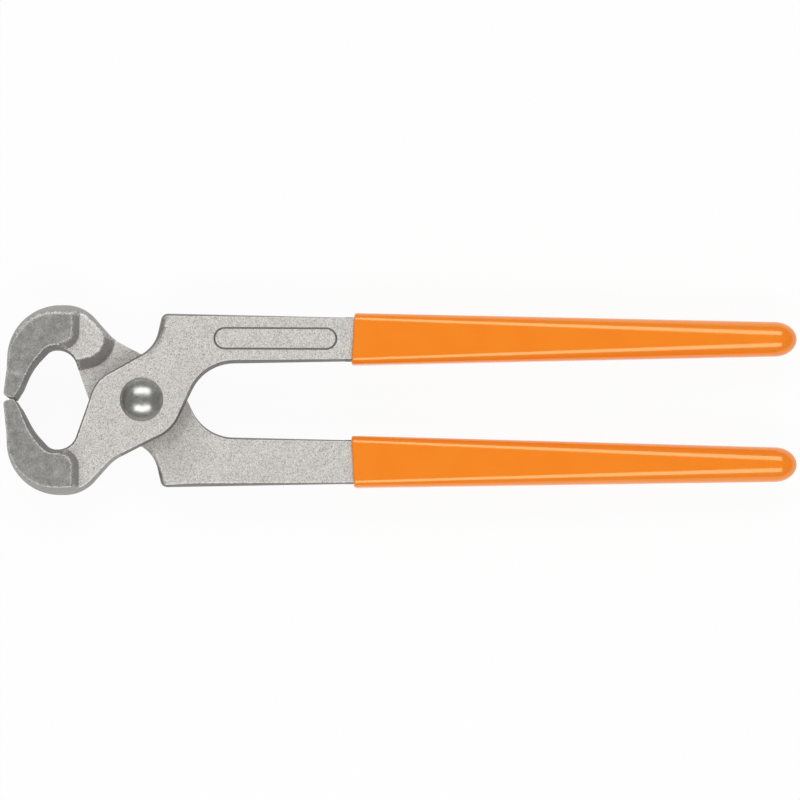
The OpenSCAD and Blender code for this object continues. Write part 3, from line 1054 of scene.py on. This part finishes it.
    def build(self) -> tuple[np.ndarray, list, np.ndarray, dict[str, np.ndarray]]:
        """Builds the forging as one closed skin, with the tang's own skin sunk in the bar's end.

        Returns:
            Points, faces, the finish of each face, and the wear and painted shade of each point.
        """
        rings, worn = self._skirt()
        n = len(rings[0])
        points = list(np.concatenate(rings))
        wear = list(worn.ravel())
        # scale holds each point's painted shade
        scale = list(self._shoulder_painted_shade(rings[0], len(rings)).ravel())
        faces = ring_quads(len(rings), n)
        spin = np.linspace(0, 2 * math.pi, self.bore_steps, endpoint=False)
        bore = self.bore_r * np.stack([np.cos(spin), np.sin(spin)], axis=1)
        bore_starts = []
        for first, face, broad in ((0, self.bottom, Broad.INNER), (len(rings) - 1, self.top, Broad.OUTER)):
            flat, corners = self._broad_face(rings[first][:, :2], bore, broad)
            new = flat[n:]
            number = np.concatenate([first * n + np.arange(n), len(points) + np.arange(len(new))])
            faces += [tuple(number[t]) for t in corners]
            bore_starts.append(len(points))
            points += list(np.column_stack([new, face(new)]))
            wear += list(self._rim_wear(new, broad))
            scale += list(self._face_painted_shade(new, face, broad))
        low, high = bore_starts
        for i in range(self.bore_steps):
            j = (i + 1) % self.bore_steps
            faces.append((low + j, low + i, high + i, high + j))
        tang_points, tang_faces = self._tang()
        faces += [tuple(len(points) + i for i in face) for face in tang_faces]
        points = np.concatenate([points, tang_points])
        bare = np.zeros(len(tang_points))
        marks = {WORN: np.concatenate([wear, bare]), SCALE: np.concatenate([scale, bare])}
        return points, faces, self._finishes(points, faces, n), marks

    def _tang(self) -> tuple[np.ndarray, list]:
        """Draws the steel inside the grip as a closed skin, from within the bar's end to its round tip.

        Returns:
            Points and faces.
        """
        nose_x = self.tang_end_x - self.tang_nose
        straight = np.linspace(self.mouth_x, nose_x, self.tang_steps)
        quarter = np.linspace(0, math.pi / 2, self.tang_steps)
        bullet = self.tang_end_x - self.tang_nose * (1 - np.sin(quarter[1:-1]))
        turn = np.concatenate([quarter + i * math.pi / 2 for i in range(4)])
        corner = np.repeat([[1, 1], [-1, 1], [-1, -1], [1, -1]], len(quarter), axis=0)
        mouth, tip = np.array(self.tang_mouth), np.array(self.tang_tip)
        rings = []
        for x in np.concatenate([[self.mouth_x - self.bar_sunk], straight, bullet]):
            share = np.clip((x - self.mouth_x) / (nose_x - self.mouth_x), 0, 1)
            size = math.sqrt(1 - max(0, (x - nose_x) / self.tang_nose) ** 2)
            half_y, half_z, radius = size * (mouth + (tip - mouth) * share)
            offset = corner * (half_y - radius, half_z - radius)
            offset = offset + radius * np.stack([np.cos(turn), np.sin(turn)], axis=1)
            middle = self.handle_y + (self.tang_end_y - self.handle_y) * share
            rings.append(np.column_stack([np.full(len(turn), x), offset[:, 0] + middle, offset[:, 1]]))
        n = len(turn)
        last = (len(rings) - 1) * n
        faces = [tuple(range(n))[::-1], tuple(range(last, last + n))]
        return np.concatenate(rings), faces + ring_quads(len(rings), n)

    def _finishes(self, points: np.ndarray, faces: list, n: int) -> np.ndarray:
        """Chooses each face's finish: ground pads, trimmed jaw backs partly in painted shade, other steep
        walls in painted shade, blasted elsewhere.

        Args:
            points: rows of x, y, z.
            faces: corner numbers of each face, with the side wall's quads first.
            n: the number of points in one ring of the side wall.

        Returns:
            One Face for each face.
        """
        a, b, c = (points[[face[i] for face in faces]] for i in (0, 1, 2))
        across = np.cross(b - a, c - a)
        middle = (a + b + c) / 3
        wall = np.array([len(face) == 4 for face in faces])
        on_back = [np.full(sum(steps), i in self.trimmed_corners) for i, steps in enumerate(self.steps)]
        back = np.concatenate(on_back)[[face[0] % n for face in faces]]
        steep = np.hypot(across[:, 0], across[:, 1]) > self.steep_slope * np.abs(across[:, 2])
        on_pad = np.abs(middle[:, 2]) > self.jaw_z - self.back_edge_r
        flat = np.where(on_pad, Face.GROUND, Face.BLASTED)
        return np.where(steep & wall, np.where(back, Face.TRIMMED_AND_SHADED, Face.SCALED), flat)

    def piece(self, name: str, bench: Bench, turn: Turn,
              finishes: list[bpy.types.Material]) -> bpy.types.Object:
        """Makes the forging's object, turned to its place.

        Args:
            name: the piece's name.
            bench: where the sketch lies.
            turn: which way up it lies.
            finishes: one material for each Face.

        Returns:
            The object.
        """
        points, faces, slots, marks = self.build()
        return mesh_object(name, bench.placed(points, turn), faces, finishes, slots, marks)


class Number:
    """A number in a geometry tree; arithmetic on it adds Math nodes."""

    def __init__(self, tree: bpy.types.NodeTree, socket: bpy.types.NodeSocket) -> None:
        """Keeps the tree and the socket that gives the number."""
        self.tree = tree
        self.socket = socket

    def through(self, operation: str, *others: "Number | float") -> "Number":
        """Passes the number through one Math node.

        Args:
            operation: the node's operation.
            others: the operation's further inputs.

        Returns:
            The result.
        """
        values = [self.socket] + [o.socket if isinstance(o, Number) else o for o in others]
        node = add_node(self.tree, "ShaderNodeMath", {"operation": operation}, dict(enumerate(values)))
        return Number(self.tree, node.outputs[0])

    def __add__(self, other: "Number | float") -> "Number":
        """Adds."""
        return self.through("ADD", other)

    def __sub__(self, other: "Number | float") -> "Number":
        """Subtracts."""
        return self.through("SUBTRACT", other)

    def __mul__(self, other: "Number | float") -> "Number":
        """Multiplies."""
        return self.through("MULTIPLY", other)

    def __truediv__(self, other: "Number | float") -> "Number":
        """Divides."""
        return self.through("DIVIDE", other)

    def towards(self, other: "Number", share: "Number") -> "Number":
        """Goes from this number to another by a share."""
        return (other - self).through("MULTIPLY_ADD", share, self)

    def circle_rest(self) -> "Number":
        """Gives the square root of one less the square, as round a quarter circle."""
        return (self * self * -1.0 + 1.0).through("MAXIMUM", 0.0).through("SQRT")


@dataclass
class DippedGrip:
    """A vinyl sleeve over the tang: rounded oblong at its slanted mouth, round at its bullet end."""

    mouth_x: float
    end_x: float
    handle_y: float = 19.35
    end_y: float = 19.8
    # The tang's section at the mouth and at the end, which the coat follows
    half_w: float = 6.9
    half_t: float = 4.8
    corner_r: float = 1.4
    end_r: float = 4.2
    # The coat, its clearance on the tang, its bullet end and its mouth
    coat: float = 1.3
    gap: float = 0.05
    tip_coat: float = 3.5
    nose: float = 7.0
    lip_r: float = 0.8
    slant: float = 0.4
    slant_run: float = 14.0
    # The grid that is bent: its points along and around, and the share of them that each corner takes
    rows: int = 321
    columns: int = 81
    arc_share: float = 0.8
    weld: float = 0.002

    def _inputs(self) -> dict[str, float]:
        """Gives the tree's named sizes."""
        return {
            "Mouth": self.mouth_x, "End": self.end_x, "Mouth Y": self.handle_y, "End Y": self.end_y,
            "Half Width": self.half_w, "Half Thickness": self.half_t, "Corner": self.corner_r,
            "End Radius": self.end_r, "Coat": self.coat, "Gap": self.gap, "Tip Coat": self.tip_coat,
            "Nose": self.nose, "Lip": self.lip_r, "Slant": self.slant, "Slant Run": self.slant_run,
        }

    def _tree(self, finish: bpy.types.Material) -> bpy.types.NodeTree:
        """Builds the geometry tree that bends a flat grid into the sleeve's closed skin.

        Args:
            finish: the material that the skin gets.

        Returns:
            The tree, with a named input for each size.
        """
        tree = bpy.data.node_groups.new("dipped_sleeve", "GeometryNodeTree")
        for name, value in self._inputs().items():
            socket = tree.interface.new_socket(name, in_out="INPUT", socket_type="NodeSocketFloat")
            socket.default_value = value
        tree.interface.new_socket("Geometry", in_out="OUTPUT", socket_type="NodeSocketGeometry")
        given = add_node(tree, "NodeGroupInput")
        size = {name: Number(tree, given.outputs[name]) for name in self._inputs()}
        sheet = add_node(tree, "GeometryNodeMeshGrid", {}, {
            "Size X": 2.0, "Size Y": 1.0, "Vertices X": self.rows, "Vertices Y": self.columns})
        where = add_node(tree, "ShaderNodeSeparateXYZ", {}, {
            "Vector": add_node(tree, "GeometryNodeInputPosition").outputs[0]})
        along = Number(tree, where.outputs["X"])
        around = Number(tree, where.outputs["Y"]) + 0.5

        outer = along.through("GREATER_THAN", 0.0)
        wall = size["Gap"].towards(size["Coat"], outer)
        end = (size["End"] - size["Tip Coat"] + size["Gap"]).towards(size["End"], outer)
        nose = (size["Nose"] - size["Tip Coat"]).towards(size["Nose"], outer)
        share = ((along.through("ABSOLUTE") * math.pi).through("COSINE") * -0.5) + 0.5
        x = size["Mouth"].towards(end, share)
        from_mouth = x - size["Mouth"]
        taper = (from_mouth / (size["End"] - size["Nose"] - size["Mouth"])).through("MINIMUM", 1.0)
        bullet = ((x - end + nose) / nose).through("MAXIMUM", 0.0).circle_rest()
        at_lip = (from_mouth / size["Lip"] * -1.0 + 1.0).through("MAXIMUM", 0.0)
        skin = wall - (at_lip.circle_rest() * -1.0 + 1.0) * size["Lip"] * outer

        quarter = around * 4.0
        corner = quarter.through("FLOOR").through("MINIMUM", 3.0)
        into = quarter - corner
        turn = (corner + (into / self.arc_share).through("MINIMUM", 1.0)) * (math.pi / 2)
        across = ((into - self.arc_share) / (1 - self.arc_share)).through("MAXIMUM", 0.0)
        here = (corner + 0.5) * (math.pi / 2)
        after = (corner + 1.5) * (math.pi / 2)
        side_y, side_z = (
            here.through(way).through("SIGN").towards(after.through(way).through("SIGN"), across)
            for way in ("COSINE", "SINE"))
        radius = size["Corner"].towards(size["End Radius"], taper) + skin
        half_y = size["Half Width"].towards(size["End Radius"], taper) + skin
        half_z = size["Half Thickness"].towards(size["End Radius"], taper) + skin
        off_y = ((half_y - radius) * side_y + radius * turn.through("COSINE")) * bullet
        off_z = ((half_z - radius) * side_z + radius * turn.through("SINE")) * bullet
        fade = (from_mouth / size["Slant Run"] * -1.0 + 1.0).through("MAXIMUM", 0.0)
        slanted = x + off_y / size["Half Width"] * size["Slant"] * fade * fade
        y = size["Mouth Y"].towards(size["End Y"], taper) + off_y
        bent = add_node(tree, "ShaderNodeCombineXYZ", {}, {
            "X": slanted.socket, "Y": y.socket, "Z": off_z.socket})
        shaped = add_node(tree, "GeometryNodeSetPosition", {}, {
            "Geometry": sheet.outputs["Mesh"], "Position": bent.outputs[0]})
        closed = add_node(tree, "GeometryNodeMergeByDistance", {}, {
            "Geometry": shaped.outputs[0], "Distance": self.weld})
        # Bent this way round, the grid's faces look inwards
        turned = add_node(tree, "GeometryNodeFlipFaces", {}, {"Mesh": closed.outputs[0]})
        single = add_node(tree, "GeometryNodeRealizeInstances", {}, {"Geometry": turned.outputs[0]})
        dressed = add_node(tree, "GeometryNodeSetMaterial", {}, {
            "Geometry": single.outputs[0], "Material": finish})
        add_node(tree, "NodeGroupOutput", {}, {"Geometry": dressed.outputs[0]})
        return tree

    def piece(self, name: str, bench: Bench, turn: Turn, finish: bpy.types.Material) -> bpy.types.Object:
        """Makes the sleeve's object from its geometry tree.

        Args:
            name: the piece's name.
            bench: where the sketch lies.
            turn: which way up it lies.
            finish: the vinyl.

        Returns:
            The object, with a plain mesh and no modifier.
        """
        tree = self._tree(finish)
        maker = mesh_object(f"{name}.maker", np.zeros((0, 3)), [], [])
        modifier = maker.modifiers.new("sleeve", "NODES")
        modifier.node_group = tree
        for item in tree.interface.items_tree:
            if item.in_out == "INPUT":
                modifier[item.identifier] = self._inputs()[item.name]
        graph = bpy.context.evaluated_depsgraph_get()
        mesh = bpy.data.meshes.new_from_object(maker.evaluated_get(graph))
        bpy.data.objects.remove(maker)
        sketch = np.empty(len(mesh.vertices) * 3)
        mesh.vertices.foreach_get("co", sketch)
        mesh.vertices.foreach_set("co", bench.placed(sketch.reshape(-1, 3), turn).ravel())
        mesh.update()
        mesh.shade_smooth()
        mesh.name = name
        piece = bpy.data.objects.new(name, mesh)
        bpy.context.scene.collection.objects.link(piece)
        return piece


@dataclass
class DomedRivet:
    """The pivot: a shank with two domed heads, each closed down onto its half."""

    head_r: float = 6.85
    rise: float = 3.6
    shank_r: float = 5.0
    lap_t: float = 6.0
    seat_gap: float = 0.02
    run_gap: float = 0.05
    steps: int = 96
    dome_steps: int = 28

    def _profile(self) -> np.ndarray:
        """Draws the rivet's half section.

        Returns:
            Rows of radius and height, from the lower crown to the upper one.
        """
        dome_r = (self.head_r ** 2 + self.rise ** 2) / (2 * self.rise)
        full = math.asin(self.head_r / dome_r)
        q = np.linspace(0, full, self.dome_steps + 1)
        rise = self.rise - dome_r * (1 - np.cos(q))
        dome = np.stack([dome_r * np.sin(q), np.maximum(rise, 0)], axis=1)
        low_seat, high_seat = self.lap_t + self.seat_gap, self.lap_t + self.run_gap
        low = dome * (1, -1) - (0, low_seat)
        high = dome[::-1] + (0, high_seat)
        shank = np.array([[self.shank_r, -low_seat], [self.shank_r, high_seat]])
        return np.concatenate([low, shank, high])

    def piece(self, name: str, bench: Bench, finish: bpy.types.Material) -> bpy.types.Object:
        """Turns the profile round the pivot.

        Args:
            name: the piece's name.
            bench: where the sketch lies.
            finish: the rivet's steel.

        Returns:
            The object.
        """
        profile = self._profile()
        spin = np.linspace(0, 2 * math.pi, self.steps, endpoint=False)
        circle = np.stack([np.cos(spin), np.sin(spin)], axis=1)
        rings = [np.column_stack([r * circle, np.full(self.steps, z)]) for r, z in profile[1:-1]]
        crowns = np.array([[0, 0, profile[0][1]], [0, 0, profile[-1][1]]])
        points = np.concatenate(rings + [crowns])
        low, high = len(points) - 2, len(points) - 1
        last = (len(rings) - 1) * self.steps
        faces = ring_quads(len(rings), self.steps)
        for i in range(self.steps):
            j = (i + 1) % self.steps
            faces.append((low, j, i))
            faces.append((last + i, last + j, high))
        return mesh_object(name, bench.placed(points, Turn.AS_SKETCHED), faces, [finish])


@dataclass
class Studio:
    """A white table, two long soft boxes beside the object and a camera almost straight above it."""

    camera_distance: float = 2.0
    camera_tilt: float = 2.75
    camera_roll: float = 0.15
    view_width: float = 0.2525
    aim: tuple[float, float, float] = (-0.0002, 0.0003, 0.012)
    box_height: float = 0.9
    box_offset: float = 0.75
    box_length: float = 1.5
    box_width: float = 0.55
    box_power: float = 7.5
    sky: float = 0.34
    paper_grey: float = 0.9
    paper_glow: float = 0.94
    table: float = 3.0

    def _camera(self) -> None:
        """Puts the camera where the photograph was taken from."""
        data = bpy.data.cameras.new("camera")
        data.sensor_width = 36.0
        data.lens = data.sensor_width * self.camera_distance / self.view_width
        camera = bpy.data.objects.new("camera", data)
        tilt = math.radians(self.camera_tilt)
        camera.rotation_euler = (tilt, 0, math.radians(self.camera_roll))
        back = Vector((0, -math.sin(tilt), math.cos(tilt))) * self.camera_distance
        camera.location = Vector(self.aim) + back
        bpy.context.scene.collection.objects.link(camera)
        bpy.context.scene.camera = camera

    def _soft_boxes(self) -> None:
        """Hangs one long soft box on each side, so that rounded edges catch a thin line of light."""
        for side in (-1, 1):
            data = bpy.data.lights.new("soft_box", "AREA")
            data.shape = "RECTANGLE"
            data.size = self.box_length
            data.size_y = self.box_width
            data.energy = self.box_power
            lamp = bpy.data.objects.new("soft_box", data)
            lamp.location = (0, side * self.box_offset, self.box_height)
            lamp.rotation_euler = (-side * math.atan2(self.box_offset, self.box_height), 0, 0)
            bpy.context.scene.collection.objects.link(lamp)

    def _world(self) -> None:
        """Fills the shadows with an even sky."""
        world = bpy.data.worlds.new("studio")
        world.use_nodes = True
        sky = world.node_tree.nodes["Background"]
        sky.inputs["Color"].default_value = WHITE
        sky.inputs["Strength"].default_value = self.sky
        bpy.context.scene.world = world

    def _table(self) -> None:
        """Lays the white table, which shows as plain white paper with a faint shadow."""
        half = self.table / 2
        corners = np.array([[-half, -half, 0], [half, -half, 0], [half, half, 0], [-half, half, 0]])
        paper = bpy.data.materials.new("white_paper")
        paper.use_nodes = True
        tree = paper.node_tree
        tree.nodes.remove(tree.nodes["Principled BSDF"])
        matt = add_node(tree, "ShaderNodeBsdfDiffuse", {}, {"Color": (*[self.paper_grey] * 3, 1)})
        glow = add_node(tree, "ShaderNodeEmission", {}, {"Color": WHITE, "Strength": 1.0})
        ray = add_node(tree, "ShaderNodeLightPath")
        seen = add_node(tree, "ShaderNodeMath", {"operation": "MAXIMUM"}, {
            0: ray.outputs["Is Camera Ray"], 1: ray.outputs["Is Glossy Ray"]})
        clear = add_node(tree, "ShaderNodeMath", {"operation": "MAXIMUM"}, {
            0: seen.outputs[0], 1: ray.outputs["Is Transmission Ray"]})
        share = add_node(tree, "ShaderNodeMath", {"operation": "MULTIPLY"}, {
            0: clear.outputs[0], 1: self.paper_glow})
        mixed = add_node(tree, "ShaderNodeMixShader", {}, {
            0: share.outputs[0], 1: matt.outputs[0], 2: glow.outputs[0]})
        tree.links.new(mixed.outputs[0], tree.nodes["Material Output"].inputs["Surface"])
        mesh_object("table", corners, [(0, 1, 2, 3)], [paper])

    def build(self) -> None:
        """Sets up camera, light and table."""
        self._camera()
        self._soft_boxes()
        self._world()
        self._table()
        bpy.context.scene.view_settings.view_transform = "Standard"


def settle(piece: bpy.types.Object, body: Body, node: str) -> None:
    """Sets a piece on its body in place of its CAD node, and reports it.

    Args:
        piece: the finished piece.
        body: the body that it moves with.
        node: the CAD node that it stands for.
    """
    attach(piece, body.value)
    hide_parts(node)
    LOG.info("%s: %d faces on %s", piece.name, len(piece.data.polygons), body.value)


def main() -> None:
    """Builds every piece, dresses it and sets it on its body."""
    logging.basicConfig(level=logging.INFO, format="%(name)s: %(message)s")
    bench = Bench.from_frame()
    low, high = (np.array(corner) / MM for corner in CAD_BOX)
    pivot_x = bench.pivot.x / MM
    mouth_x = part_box("upper_grip")[0].x / MM - pivot_x
    steels = [finish.material() for finish in (BLASTED_STEEL, TRIMMED_AND_SHADED_STEEL, GROUND_STEEL, SHADED_WALL_STEEL)]
    vinyl = DippedVinyl().material()

    half = ForgedHalf(head_h=high[1] - low[1], jaw_w=high[2] - low[2], mouth_x=mouth_x)
    grip = DippedGrip(mouth_x=mouth_x, end_x=high[0] - pivot_x)
    for body, turn in ((Body.UPPER, Turn.AS_SKETCHED), (Body.LOWER, Turn.TURNED_OVER)):
        side = body.value.split("_")[0]
        forging = half.piece(f"{side}_forging", bench, turn, steels)
        settle(forging, body, f"{side}_handle_half")
        sleeve = grip.piece(f"{side}_sleeve", bench, turn, vinyl)
        settle(sleeve, body, f"{side}_grip")
    rivet = DomedRivet().piece("domed_rivet", bench, POLISHED_STEEL.material())
    settle(rivet, Body.LOWER, "pivot_rivet")

    Studio().build()


if __name__ == "__main__":
    main()
